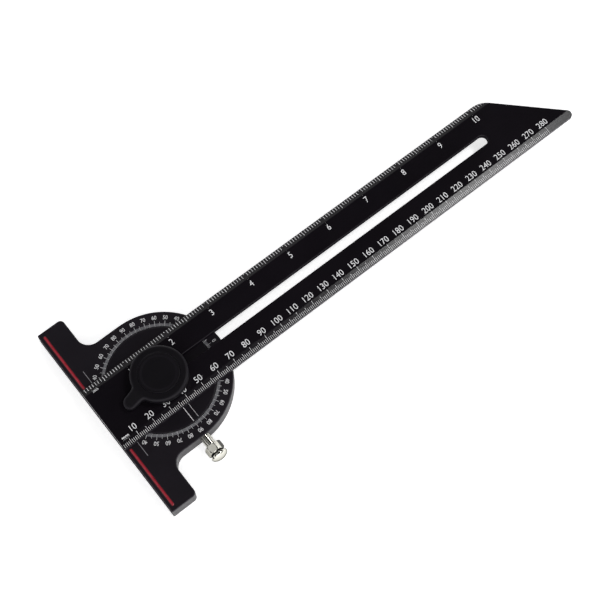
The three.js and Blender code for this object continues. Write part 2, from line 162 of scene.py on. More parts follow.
# Builds the nodes of one procedural material, on Object coordinates.
class Finish:
    def __init__(self, name):
        self.material = bpy.data.materials.new(name)
        self.material.use_nodes = True
        self.tree = self.material.node_tree
        self.shader = self.tree.nodes["Principled BSDF"]
        self.coord = self.tree.nodes.new("ShaderNodeTexCoord").outputs["Object"]

    def node(self, kind, **values):
        made = self.tree.nodes.new(kind)
        for key, value in values.items():
            setattr(made, key, value)
        return made

    def link(self, out, into):
        self.tree.links.new(out, into)

    def set(self, **values):
        for key, value in values.items():
            self.shader.inputs[key.replace("_", " ")].default_value = value

    def stretched(self, scale):
        mapping = self.node("ShaderNodeMapping")
        mapping.inputs["Scale"].default_value = scale
        self.link(self.coord, mapping.inputs["Vector"])
        return mapping.outputs[0]

    def noise(self, scale, detail=3.0, rough=0.55, at=None):
        made = self.node("ShaderNodeTexNoise")
        made.inputs["Scale"].default_value = scale
        made.inputs["Detail"].default_value = detail
        made.inputs["Roughness"].default_value = rough
        self.link(self.coord if at is None else at, made.inputs["Vector"])
        return made.outputs["Fac"]

    def spread(self, value, low, high, fromLow=0.3, fromHigh=0.7):
        made = self.node("ShaderNodeMapRange")
        made.inputs["From Min"].default_value = fromLow
        made.inputs["From Max"].default_value = fromHigh
        made.inputs["To Min"].default_value = low
        made.inputs["To Max"].default_value = high
        self.link(value, made.inputs["Value"])
        return made.outputs[0]

    def maths(self, kind, first, second):
        made = self.node("ShaderNodeMath", operation=kind)
        for i, value in enumerate((first, second)):
            if isinstance(value, (int, float)):
                made.inputs[i].default_value = value
            else:
                self.link(value, made.inputs[i])
        return made.outputs[0]

    def mix(self, factor, first, second):
        made = self.node("ShaderNodeMix", data_type="RGBA")
        self.link(factor, made.inputs["Factor"])
        for value, socket in ((first, made.inputs[6]), (second, made.inputs[7])):
            if isinstance(value, tuple):
                socket.default_value = (*value, 1)
            else:
                self.link(value, socket)
        return made.outputs[2]

    def attribute(self, name):
        return self.node("ShaderNodeAttribute", attribute_name=name).outputs["Fac"]

    def bump(self, height, strength, distance):
        made = self.node("ShaderNodeBump")
        made.inputs["Strength"].default_value = strength
        made.inputs["Distance"].default_value = distance
        self.link(height, made.inputs["Height"])
        before = self.shader.inputs["Normal"].links
        if before:
            self.link(before[0].from_socket, made.inputs["Normal"])
        self.link(made.outputs[0], self.shader.inputs["Normal"])

    def colour(self, value):
        self.link(value, self.shader.inputs["Base Color"])

    def roughness(self, value):
        self.link(value, self.shader.inputs["Roughness"])


anodise = {
    "deep": (0.0040, 0.0029, 0.0046),  # the black, with its slight violet cast
    "pale": (0.0060, 0.0046, 0.0068),
    "worn": (0.050, 0.045, 0.055),
}


# Black anodising: a cloudy tone, a grain stretched along one axis, and paler edges. The edgeWearAndShade
# attribute is 1 on a rubbed edge and 0 on a face.
def makeAnodised(name, grain, smooth, rough, lift, gloss):
    finish = Finish(name)
    cloud = finish.spread(finish.noise(38, 4), 0, 1)
    deep = tuple(lift * v for v in anodise["deep"])
    pale = tuple(lift * v for v in anodise["pale"])
    edge = finish.attribute("edgeWearAndShade")
    patchy = finish.spread(finish.noise(420, 3), 0.25, 1.0, 0.42, 0.62)
    worn = finish.maths("MULTIPLY", edge, patchy)
    finish.colour(finish.mix(worn, finish.mix(cloud, deep, pale), anodise["worn"]))
    lines = finish.noise(1, 2, 0.5, finish.stretched(grain))
    finish.roughness(finish.spread(lines, smooth, rough))
    finish.bump(lines, 0.03, 0.00002)
    finish.bump(finish.noise(3200, 2), 0.12, 0.00002)
    finish.set(Specular_IOR_Level=gloss)
    return finish.material


# Laser marking: slightly mottled white, matt.
def makeMarking(name, dark, light):
    finish = Finish(name)
    speckle = finish.noise(2600, 2)
    finish.colour(finish.mix(finish.spread(speckle, 0, 1), dark, light))
    finish.roughness(finish.spread(speckle, 0.55, 0.75))
    finish.set(Specular_IOR_Level=0.3)
    return finish.material


# Enamel run into a groove: slight waves on its skin, and darker towards its edges, where the edge
# attribute is 1: painted shade on the slopes of its crown.
def makeRed():
    finish = Finish("redEnamel")
    wave = finish.noise(240, 2)
    crown = finish.mix(finish.spread(wave, 0, 1), (0.38, 0.022, 0.036), (0.50, 0.040, 0.062))
    finish.colour(finish.mix(finish.attribute("edgeWearAndShade"), crown, (0.15, 0.004, 0.012)))
    finish.roughness(finish.spread(wave, 0.20, 0.28))
    finish.bump(wave, 0.25, 0.00010)
    finish.set(Coat_Weight=0.9, Coat_Roughness=0.12)
    return finish.material


# Glass-filled black moulding with a fine spark-eroded grain.
def makeMoulding():
    finish = Finish("blackMoulding")
    grain = finish.noise(2400, 3, 0.6)
    cloud = finish.spread(finish.noise(60, 3), 0, 1)
    base = finish.mix(cloud, (0.0028, 0.0021, 0.0036), (0.0042, 0.0034, 0.0052))
    edge = finish.maths("MULTIPLY", finish.attribute("edgeWearAndShade"), 0.5)
    finish.colour(finish.mix(edge, base, (0.012, 0.010, 0.015)))
    finish.roughness(finish.spread(grain, 0.40, 0.50))
    finish.bump(grain, 0.20, 0.00003)
    finish.set(Specular_IOR_Level=0.16)
    return finish.material


# Bare metal: a tone that drifts, and either drawn lines or the rings that a lathe leaves. A rim under
# 1 darkens what is seen at a glancing angle.
def makeMetal(name, dark, light, smooth, rough, grain, ringed=False, rim=1.0):
    finish = Finish(name)
    cloud = finish.noise(180, 3)
    finish.colour(finish.mix(finish.spread(cloud, 0, 1), dark, light))
    if ringed:
        rings = finish.node("ShaderNodeTexWave", wave_type="RINGS", rings_direction="Z")
        rings.inputs["Scale"].default_value = grain
        rings.inputs["Distortion"].default_value = 0.6
        finish.link(finish.coord, rings.inputs["Vector"])
        lines = rings.outputs["Fac"]
    else:
        lines = finish.noise(grain, 2, 0.5, finish.stretched((1, 0.06, 1)))
    finish.roughness(finish.spread(lines, smooth, rough, 0.0, 1.0))
    finish.bump(lines, 0.12, 0.00002)
    finish.set(Metallic=1.0, Specular_Tint=(rim, rim, rim, 1))
    return finish.material


def makeNylon():
    finish = Finish("naturalNylon")
    cloud = finish.noise(300, 3)
    finish.colour(finish.mix(finish.spread(cloud, 0, 1), (0.62, 0.60, 0.53), (0.76, 0.74, 0.68)))
    finish.roughness(finish.spread(cloud, 0.45, 0.6))
    finish.bump(cloud, 0.2, 0.00003)
    finish.set(Subsurface_Weight=0.1, Subsurface_Scale=0.001)
    return finish.material


# Points on a circle's stretch, ends included: centre plus radius times (cos, sin) of the angle.
def arc(x, y, radius, start, end, steps):
    angle = np.radians(np.linspace(start, end, steps + 1))
    return np.stack([x + radius * np.cos(angle), y + radius * np.sin(angle)], 1)


# A whole circle, anticlockwise, with no doubled end point.
def circle(radius, steps, x=0.0, y=0.0):
    return arc(x, y, radius, 0, 360, steps)[:-1]


# A skin through loops of equally many points: levels holds (loop, height, edge value) from the start up;
# the edge value marks rubbed edges, and on the red fills painted shade.
# Point j of level i joins point j+1, and the same two of level i+1.
def wall(levels):
    count = len(levels[0][0])
    points = np.concatenate(
        [np.column_stack([loop, np.broadcast_to(z, count)]) for loop, z, _ in levels]
    )
    wearAndShade = np.concatenate([np.broadcast_to(w, count) for _, _, w in levels])
    level = np.arange(len(levels) - 1)[:, None] * count
    here = np.arange(count)[None, :]
    after = (here + 1) % count
    quads = np.stack([level + here, level + after, level + count + after, level + count + here], 2)
    return points, quads.reshape(-1, 4), wearAndShade


# Whether each point lies in an odd number of loops, by counting the edges that a ray crosses.
def inside(points, loops):
    odd = np.zeros(len(points), bool)
    x, y = points[:, 0, None], points[:, 1, None]
    for a in loops:
        b = np.roll(a, -1, 0)
        spans = (a[:, 1] > y) != (b[:, 1] > y)
        rise = np.where(b[:, 1] == a[:, 1], 1e-12, b[:, 1] - a[:, 1])
        crossing = a[:, 0] + (y - a[:, 1]) * (b[:, 0] - a[:, 0]) / rise
        odd ^= (spans & (x < crossing)).sum(1) % 2 == 1
    return odd


# A face between an outer loop and the holes in it, triangulated, at one height or at heightAt(x, y).
def cap(loops, height, up=True, extra=()):
    points = np.concatenate([*loops, np.reshape(extra, (-1, 2))])
    edges = []
    start = 0
    for loop in loops:
        count = len(loop)
        edges += [(start + i, start + (i + 1) % count) for i in range(count)]
        start += count
    flat = [Vector((float(x), float(y))) for x, y in points]
    found = geometry.delaunay_2d_cdt(flat, edges, [], 1, 1e-9)
    corners = np.array([(v.x, v.y) for v in found[0]])
    faces = np.array([f for f in found[2] if len(f) == 3])
    faces = faces[inside(corners[faces].mean(1), loops)]
    a, b, c = (corners[faces[:, i]] for i in range(3))
    turn = (b[:, 0] - a[:, 0]) * (c[:, 1] - a[:, 1]) - (b[:, 1] - a[:, 1]) * (c[:, 0] - a[:, 0])
    wrong = (turn < 0) if up else (turn > 0)
    faces[wrong] = faces[wrong][:, ::-1]
    z = height(corners[:, 0], corners[:, 1]) if callable(height) else np.full(len(corners), height)
    return np.column_stack([corners, z]), faces, np.zeros(len(corners))


rimMargin = 0.12 * mm  # a narrow flat strip inside each rounded rim, which keeps the face's shading flat


# Levels of a wall whose bottom and top edges are rounded: the loop is drawn in by the radius less
# the radius times the sine, as the height goes by the cosine.
def rounded(loopAt, low, high, radius, steps=4):
    bend = np.linspace(0, math.pi / 2, steps + 1)
    levels = [(loopAt(radius + rimMargin), low, 0.0)]
    for a in bend:
        inset = radius * (1 - math.sin(a))
        levels.append((loopAt(inset), low + radius * (1 - math.cos(a)), math.sin(2 * a)))
    levels.append((loopAt(0), low + radius + rimMargin, 0.0))
    levels.append((loopAt(0), high - radius - rimMargin, 0.0))
    for a in bend[::-1]:
        inset = radius * (1 - math.sin(a))
        levels.append((loopAt(inset), high - radius * (1 - math.cos(a)), math.sin(2 * a)))
    levels.append((loopAt(radius + rimMargin), high, 0.0))
    return levels


# One object from several skins: their points and faces are put together and welded.
# Faces picked by the face test, by their centres and normals, take the second of two materials: a dull
# finish on the stock and blade, and on the plunger a dark metal that paints shade.
def makePiece(name, skins, material, body, replaced=(), sharp=35.0, dullFinishOrShade=None, dullFinishOrShadeWhere=None):
    points = np.concatenate([skin[0] for skin in skins])
    wearAndShade = np.concatenate([skin[2] for skin in skins]).astype(np.float32)
    starts = np.cumsum([0] + [len(skin[0]) for skin in skins])
    faces = []
    for start, skin in zip(starts, skins):
        faces += (np.asarray(skin[1]) + start).tolist()
    mesh = bpy.data.meshes.new(name)
    mesh.from_pydata(points.tolist(), [], faces)
    mesh.attributes.new("edgeWearAndShade", "FLOAT", "POINT").data.foreach_set("value", wearAndShade)
    weldMesh(mesh, 2e-6)
    mesh.shade_smooth()
    mesh.set_sharp_from_angle(angle=math.radians(sharp))
    piece = finishPiece(name, mesh, material, body, replaced)
    if dullFinishOrShade:
        mesh.materials.append(dullFinishOrShade)
        centres, normals = np.zeros((2, len(mesh.polygons), 3))
        mesh.polygons.foreach_get("center", centres.reshape(-1))
        mesh.polygons.foreach_get("normal", normals.reshape(-1))
        mesh.polygons.foreach_set("material_index", dullFinishOrShadeWhere(centres, normals).astype(np.int32))
    return piece


def weldMesh(mesh, distance):
    work = bmesh.new()
    work.from_mesh(mesh)
    bmesh.ops.remove_doubles(work, verts=work.verts, dist=distance)
    work.to_mesh(mesh)
    work.free()


def finishPiece(name, mesh, material, body, replaced=()):
    mesh.materials.append(material)
    piece = bpy.data.objects.new(name, mesh)
    bpy.context.scene.collection.objects.link(piece)
    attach(piece, body)
    if replaced:
        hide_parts(*replaced)
    return piece


# A skin of revolution about +Z: each (radius, height, wear) of the profile becomes a circle.
def turned(profile, steps=96):
    return wall([(circle(max(r, 1e-6), steps), z, w) for r, z, w in profile])


# A turned profile whose corners are rounded: each inner corner becomes a short curve that starts
# and ends `radius` away from it, and carries the wear of an edge in its middle.
def softProfile(corners, radius, steps=3):
    corners = [np.array(c, float) for c in corners]
    out = [(*corners[0], 0.0)]
    for before, here, after in zip(corners, corners[1:], corners[2:]):
        back, on = before - here, after - here
        reach = min(radius, np.linalg.norm(back) / 2.1, np.linalg.norm(on) / 2.1)
        first = here + back / np.linalg.norm(back) * reach
        last = here + on / np.linalg.norm(on) * reach
        for t in np.linspace(0, 1, steps + 1):
            point = (1 - t) ** 2 * first + 2 * t * (1 - t) * here + t ** 2 * last
            out.append((point[0], point[1], math.sin(math.pi * t)))
    out.append((*corners[-1], 0.0))
    return out


# Turns a skin made about +Z to lie along -Y at the plunger's height.
def layAlongPlunger(skin, height):
    points, faces, wearAndShade = skin
    x, y, z = points.T
    return np.stack([x, -z, y + height], 1), faces, wearAndShade


stockLook = {
    "wingWidth": 15 * mm,
    "filletRadius": 7 * mm,
    "tipRadius": 2.5 * mm,
    "faceCorner": 0.6 * mm,  # the corners at the two ends of the reference face
    "edgeRound": 0.5 * mm,
    "boreGap": 0.3 * mm,
    "seatHeight": 3.6 * mm,  # the ledge under the turret's flange
    "hubRadius": 20.3 * mm,
    "plateRoomTop": 2.1 * mm,
    "lip": 0.15 * mm,  # the chamfer round the mouths of the turret's room
}


# The T, anticlockwise: the reference face's corner, a wing's tip, the fillet into the boss, the boss,
# and the same mirrored.
def stockOutline(inset):
    look = stockLook
    face = faceX + inset
    wing = faceX + look["wingWidth"] - inset
    tip = stockHigh.y - inset
    boss = stockHigh.x - inset
    corner = look["tipRadius"] - inset
    square = max(look["faceCorner"] - inset, 0.01 * mm)
    fillet = look["filletRadius"] + inset
    lower = np.concatenate([
        arc(face + square, square - tip, square, 180, 270, 4),
        arc(wing - corner, corner - tip, corner, -90, 0, 10),
        arc(wing + fillet, -boss - fillet, fillet, 180, 90, 20),
        arc(0, 0, boss, -90, 0, 60),
    ])
    return np.concatenate([lower, lower[:-1][::-1] * [1, -1]])


inlayLook = {
    "grooveDepth": 0.7 * mm,
    "grooveGap": 0.04 * mm,
    "grooveLip": 0.1 * mm,
    "crown": 0.2 * mm,
    "crownShare": 0.9,  # share of the half width that the curve takes, short of the level middle
    "crownSteps": 7,
    "sink": 0.02 * mm,
}


# A bar with round ends along one wing, grown all round by `growth`.
def inlayLoop(side, growth):
    x = (inlayLow.x + inlayHigh.x) / 2
    half = (inlayHigh.x - inlayLow.x) / 2
    loop = np.concatenate([
        arc(x, inlayHigh.y - half, half + growth, 0, 180, 16),
        arc(x, inlayLow.y + half, half + growth, 180, 360, 16),
    ])
    return loop if side > 0 else (loop * [1, -1])[::-1]


# The reference face and the walls of the turret's room have the plain mill finish.
def stockDull(centres, normals):
    onFace = normals[:, 0] < -0.9
    inRoom = (np.hypot(centres[:, 0], centres[:, 1]) < discRadius + 1 * mm) & (normals[:, 2] < 0.5)
    return onFace | inRoom


def makeStock(material, dullFinishOrShade):
    look = stockLook
    outside = rounded(stockOutline, 0, stockTop, look["edgeRound"])
    bore = discRadius + look["boreGap"]
    plateRoom = plateHigh.x + look["boreGap"]
    lip = look["lip"]
    boreWall = [
        (circle(bore + lip, 160), stockTop, 0.0),
        (circle(bore, 160), stockTop - lip, 1.0),
        (circle(bore, 160), look["seatHeight"], 0.0),
        (circle(look["hubRadius"], 160), look["seatHeight"], 0.0),
        (circle(look["hubRadius"], 160), look["plateRoomTop"], 0.0),
        (circle(plateRoom, 160), look["plateRoomTop"], 0.0),
        (circle(plateRoom, 160), lip, 1.0),
        (circle(plateRoom + lip, 160), 0, 0.0),
    ]
    floorZ = stockTop - inlayLook["grooveDepth"]
    grooveGap, grooveLip = inlayLook["grooveGap"], inlayLook["grooveLip"]
    skins = [wall(outside), wall(boreWall)]
    mouths = []
    for side in (1, -1):
        throat = inlayLoop(side, grooveGap)
        mouth = inlayLoop(side, grooveGap + grooveLip)
        mouths.append(mouth)
        lipZ = stockTop - grooveLip
        skins.append(wall([(mouth, stockTop, 0.0), (throat, lipZ, 0.3), (throat, floorZ, 0.0)]))
        skins.append(cap([throat], floorZ))
    skins.append(cap([outside[-1][0], boreWall[0][0], *mouths], stockTop))
    skins.append(cap([outside[0][0], boreWall[-1][0]], 0, up=False))
    makePiece("stock_body", skins, material, "stock", ["stock"], 35, dullFinishOrShade, stockDull)
    print("stock done")


# Each fill is a low crowned bar, whose height follows a quarter circle in from its edge.
def makeInlays(material):
    look = inlayLook
    half = (inlayHigh.x - inlayLow.x) / 2
    top = stockTop - look["sink"] - look["crown"]
    low = stockTop - look["grooveDepth"] + look["grooveGap"]
    share = look["crownShare"]
    for side, name in ((1, "upper_red"), (-1, "lower_red")):
        # The third value is 1 at the fill's rim and falls to 0 on its crown; the red enamel turns it into
        # painted shade.
        levels = [(inlayLoop(side, 0), low, 1.0)]
        for t in np.linspace(0, share, look["crownSteps"]):
            rise = math.sqrt(1 - (1 - t) ** 2)
            levels.append((inlayLoop(side, -t * half), top + look["crown"] * rise, 1 - t / share))
        skins = [
            wall(levels),
            cap([levels[0][0]], levels[0][1], up=False),
            cap([levels[-1][0]], levels[-1][1]),
        ]
        makePiece(f"{name}_fill", skins, material, "stock", [f"{name}_inlay"], sharp=60)
    print("inlays done")


markLook = {"proud": 0.02 * mm, "sunk": 0.03 * mm}


# Thin closed boxes from each start to each end, `width` wide, lying on the surface heightAt.
def bars(starts, ends, width, heightAt):
    starts, ends = np.asarray(starts, float), np.asarray(ends, float)
    along = ends - starts
    along /= np.linalg.norm(along, axis=1)[:, None]
    across = np.stack([-along[:, 1], along[:, 0]], 1) * (np.asarray(width).reshape(-1, 1) / 2)
    flat = np.stack([starts - across, starts + across, ends + across, ends - across], 1)
    z = heightAt(flat[..., 0], flat[..., 1])
    low = np.concatenate([flat, (z - markLook["sunk"])[..., None]], 2)
    high = np.concatenate([flat, (z + markLook["proud"])[..., None]], 2)
    points = np.concatenate([low, high], 1).reshape(-1, 3)
    # Corners 0 to 3 run clockwise from above, so the lower side takes them as they come.
    box = np.array([[0, 1, 2, 3], [7, 6, 5, 4], [4, 5, 1, 0], [5, 6, 2, 1], [6, 7, 3, 2], [7, 4, 0, 3]])
    faces = (np.arange(len(starts))[:, None, None] * 8 + box).reshape(-1, 4)
    return points, faces.tolist()


numeralCache = {}
capHeight = 0.73  # of the built-in face, at size 1


# A word as a flat solid: the built-in face, thickened by `weight`, set to a height and narrowed.
def numeral(text, height, weight, widthShare):
    key = (text, height, weight, widthShare)
    if key not in numeralCache:
        curve = bpy.data.curves.new("numeral", "FONT")
        curve.body = text
        curve.align_x = "CENTER"
        curve.offset = weight
        curve.extrude = 0.5
        curve.resolution_u = 4
        holder = bpy.data.objects.new("numeral", curve)
        bpy.context.scene.collection.objects.link(holder)
        graph = bpy.context.evaluated_depsgraph_get()
        mesh = bpy.data.meshes.new_from_object(holder.evaluated_get(graph))
        points = np.zeros(len(mesh.vertices) * 3)
        mesh.vertices.foreach_get("co", points)
        points = points.reshape(-1, 3)
        middle = (points.max(0) + points.min(0)) / 2
        scale = height / (capHeight + 2 * weight)
        points = (points - middle) * [scale * widthShare, scale, 1]
        numeralCache[key] = points, [list(p.vertices) for p in mesh.polygons]
        bpy.data.objects.remove(holder)
        bpy.data.curves.remove(curve)
        bpy.data.meshes.remove(mesh)
    return numeralCache[key]


# Lays words on a surface: each is (text, x, y, degrees that it is turned by).
def setNumerals(words, height, weight, widthShare, heightAt):
    points, faces, start = [], [], 0
    for text, x, y, turn in words:
        shape, shapeFaces = numeral(text, height, weight, widthShare)
        c, s = math.cos(math.radians(turn)), math.sin(math.radians(turn))
        px = x + shape[:, 0] * c - shape[:, 1] * s
        py = y + shape[:, 0] * s + shape[:, 1] * c
        z = heightAt(px, py) + np.where(shape[:, 2] > 0, markLook["proud"], -markLook["sunk"])
        points.append(np.stack([px, py, z], 1))
        faces += [[start + i for i in f] for f in shapeFaces]
        start += len(shape)
    return np.concatenate(points), faces


# Marks are thin welded solids that ride on the body they are cut into.
def makeMarks(name, skin, material, body):
    mesh = bpy.data.meshes.new(name)
    mesh.from_pydata(skin[0].tolist(), [], skin[1])
    weldMesh(mesh, 1e-7)
    finishPiece(name, mesh, material, body)


protractor = {
    "inner": 28.45 * mm,
    "oneDegree": 30.0 * mm,
    "fiveDegrees": 30.8 * mm,
    "tenDegrees": 31.5 * mm,
    "numeralRadius": 33.3 * mm,
    "numeralHeight": 2.2 * mm,
    "lineWidth": 0.14 * mm,
    "fineWidth": 0.25 * mm,
    "wingLine": 7.4 * mm,  # from the reference face
    "wingLineStart": 19.0 * mm,
    "wingLineEnd": 27.8 * mm,
    "wingLineWidth": 0.24 * mm,
}


def stockFace(x, y):
    return np.full(np.shape(x), stockTop)


# A full ring of degrees: 0 along the blade's line and 90 across it, four times over.
def makeProtractor(material, softMaterial):
    look = protractor
    degrees = np.arange(360)
    ten, five = degrees % 10 == 0, degrees % 5 == 0
    way = np.stack([np.cos(np.radians(degrees)), np.sin(np.radians(degrees))], 1)
    fine = way[~five]
    ticks = bars(fine * look["inner"], fine * look["oneDegree"], look["fineWidth"], stockFace)
    makeMarks("degree_marks", ticks, softMaterial, "stock")
    reach = np.where(ten, look["tenDegrees"], look["fiveDegrees"])[five][:, None]
    ticks = bars(way[five] * look["inner"], way[five] * reach, look["lineWidth"], stockFace)
    makeMarks("protractor_marks", ticks, material, "stock")
    words = []
    for degree in range(0, 360, 10):
        value = 90 - abs(90 - degree % 180)
        words.append((str(value), *(look["numeralRadius"] * way[degree]), degree - 90))
    numerals = setNumerals(words, look["numeralHeight"], 0.0, 0.88, stockFace)
    makeMarks("protractor_numerals", numerals, material, "stock")
    x = faceX + look["wingLine"]
    starts = [(x, look["wingLineStart"]), (x, -look["wingLineStart"])]
    ends = [(x, look["wingLineEnd"]), (x, -look["wingLineEnd"])]
    lines = bars(starts, ends, look["wingLineWidth"], stockFace)
    makeMarks("wing_index_lines", lines, softMaterial, "stock")
    print("protractor done")


turretLook = {
    "hubRadius": 20 * mm,
    "flangeBottom": 3.9 * mm,
    "rimRound": 0.25 * mm,
    "pinGap": 0.3 * mm,
    "holeDepth": 4.0 * mm,
    "lineStart": 18.8 * mm,
    "lineEnd": 27.7 * mm,
    "lineWidth": 0.30 * mm,
    "finePlace": 3.2 * mm,  # of the finer line beside it, along X
    "fineShort": 0.7 * mm,
    "fineWidth": 0.16 * mm,
}


# A turned disc whose face is level with the stock's, with its rim just broken and a well at each pin.
def makeTurret(material):
    look = turretLook
    pinLow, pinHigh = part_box("front_guide_pin")
    pinX = (pinLow.x + pinHigh.x) / 2
    wellRadius = (pinHigh.x - pinLow.x) / 2 + look["pinGap"]
    faceRadius = discRadius - 1 * mm
    innerRadius = look["hubRadius"] - 5 * mm
    rim = turned(softProfile([
        (innerRadius, discLow.z),
        (look["hubRadius"], discLow.z),
        (look["hubRadius"], look["flangeBottom"]),
        (discRadius, look["flangeBottom"]),
        (discRadius, discHigh.z),
        (faceRadius, discHigh.z),
    ], look["rimRound"]), 160)
    wells = [circle(wellRadius, 48, x=place) for place in (0, pinX, -pinX)]
    wellFloor = discHigh.z - look["holeDepth"]
    skins = [rim]
    for well in wells:
        skins.append(wall([(well, discHigh.z, 0.0), (well, wellFloor, 0.0)]))
        skins.append(cap([well], wellFloor))
    skins.append(cap([circle(faceRadius, 160), *wells], discHigh.z))
    skins.append(cap([circle(innerRadius, 160)], discLow.z, up=False))
    makePiece("turret_face", skins, material, "turret", ["turret_disc"])
    print("turret done")


def makeTurretMarks(material):
    look = turretLook
    starts = [(0, -look["lineStart"]), (look["finePlace"], -look["lineStart"])]
    ends = [(0, -look["lineEnd"]), (look["finePlace"], -look["lineEnd"] + look["fineShort"])]
    skin = bars(starts, ends, [look["lineWidth"], look["fineWidth"]], stockFace)
    makeMarks("turret_index_lines", skin, material, "turret")
    print("turret marks done")


bladeLook = {
    "bevelWidth": 4.0 * mm,
    "bevelDrop": 1.1 * mm,
    "tipRadius": 2.3 * mm,
    "backRadius": 11 * mm,
    "cutSum": 281.5 * mm,  # x + y on the far cut, counted from the reference face
    "edgeBreak": 0.12 * mm,
    "slotHalf": 3.0 * mm,
    "slotStart": -12.2 * mm,
    "slotEnd": 216.0 * mm,
}


# The blade drawn in by `inset`, as three runs of points, anticlockwise: the scale's slope from the
# squared end to the middle of the rounded point, the far end as far as the other slope, and that slope.
def bladeRuns(inset):
    look = bladeLook
    near = faceX + inset
    cut = faceX + look["cutSum"] - inset * math.sqrt(2)
    half = bladeHalf - inset
    border = bladeHalf - look["bevelWidth"]
    tip = look["tipRadius"] - inset
    back = look["backRadius"] - inset
    tipX = cut + half - tip * (1 + math.sqrt(2))
    backX = cut - half - back * (math.sqrt(2) - 1)
    crossing = math.degrees(math.asin((half - tip - border) / tip))
    point = arc(tipX, tip - half, tip, -90, crossing, 16)
    scaleSlope = np.concatenate([[[near, -border], [near, -half]], point])
    farEnd = arc(tipX, tip - half, tip, crossing, 45, 10)[1:]
    inchSlope = np.concatenate([
        [[cut - border, border]],
        arc(backX, half - back, back, 45, 90, 16),
        [[near, half], [near, border]],
    ])
    return scaleSlope, farEnd, inchSlope


# Height of the blade's upper side: level, and falling evenly over each of the two sloping edges.
def bladeHeight(x, y):
    width = bladeLook["bevelWidth"]
    share = np.clip((np.abs(y) - bladeHalf + width) / width, 0, 1)
    return bladeTop - bladeLook["bevelDrop"] * share


def slotLoop(growth):
    look = bladeLook
    half = look["slotHalf"]
    return np.concatenate([
        arc(look["slotEnd"] - half, 0, half + growth, -90, 90, 32),
        arc(look["slotStart"] + half, 0, half + growth, 90, 270, 32),
    ])


# The slot's walls have the plain mill finish.
def bladeDull(centres, normals):
    return (np.abs(centres[:, 1]) < bladeLook["slotHalf"] + 0.1 * mm) & (np.abs(normals[:, 2]) < 0.5) & (
        centres[:, 0] > bladeLook["slotStart"] - 0.1 * mm
    )


def makeBlade(material, dullFinishOrShade):
    small = bladeLook["edgeBreak"]
    levels = []
    for inset, low, wearAndShade in ((2 * small, True, 0.0), (small, True, 0.4), (0, True, 0.8), (0, False, 0.8),
                             (small, False, 0.5), (2 * small, False, 0.0)):
        loop = np.concatenate(bladeRuns(inset))
        edgeDrop = small if inset == 0 else 0
        height = bladeLow.z + edgeDrop if low else bladeHeight(*loop.T) - edgeDrop
        levels.append((loop, height, wearAndShade))
    slot = [
        (slotLoop(2 * small), bladeTop, 0.0),
        (slotLoop(small), bladeTop, 0.3),
        (slotLoop(0), bladeTop - small, 0.5),
        (slotLoop(0), bladeTop - 3 * small, 0.0),
        (slotLoop(0), bladeLow.z + small, 0.0),
        (slotLoop(small), bladeLow.z, 0.0),
    ]
    scaleSlope, farEnd, inchSlope = bladeRuns(2 * small)
    middle = np.concatenate([scaleSlope[:1], scaleSlope[-1:], farEnd, inchSlope[:1], inchSlope[-1:]])
    skins = [
        wall(levels),
        wall(slot),
        cap([middle, slot[0][0]], bladeTop),
        cap([scaleSlope], bladeHeight),
        cap([inchSlope], bladeHeight),
        cap([levels[0][0], slot[-1][0]], bladeLow.z, up=False),
    ]
    makePiece("blade_body", skins, material, "blade", ["blade"], 12, dullFinishOrShade, bladeDull)
    print("blade done")


rule = {
    "millimetres": 280,
    "tickShort": 2.2 * mm,
    "tickFive": 3.1 * mm,
    "tickTen": 4.0 * mm,
    "tickOuter": 0.3 * mm,  # from the blade's edge
    "lineWidth": 0.18 * mm,
    "inchLineWidth": 0.26 * mm,
    "numeralSize": (3.5 * mm, 0.0, 0.93),  # height, added weight, share of the width
    "numeralY": -12.3 * mm,
    "millimetreWord": ("mm", faceX + 4.1 * mm, -14.4 * mm, 0),
    "millimetreWordSize": (2.4 * mm, 0.03, 0.9),
    "inch": 25.4 * mm,
    "inchZero": 0.4 * mm,
    "inchSixteenths": 166,
    "sixteenth": 2.4 * mm,
    "halfInch": 3.2 * mm,
    "wholeInch": 4.5 * mm,
    "inchNumeralSize": (3.6 * mm, 0.0, 0.86),
    "inchNumeralY": 11.7 * mm,
    "inchLast": 10,
    "inchWord": ("inch", faceX + 6.3 * mm, 14.9 * mm, 0),
    "inchWordSize": (1.7 * mm, 0.02, 0.9),
}


# Ticks along one edge: side is -1 or +1, x and length are arrays.
def edgeTicks(side, x, length, width):
    outer = np.full(len(x), side * (bladeHalf - rule["tickOuter"]))
    inner = side * (bladeHalf - length)
    return bars(np.stack([x, outer], 1), np.stack([x, inner], 1), width, bladeHeight)


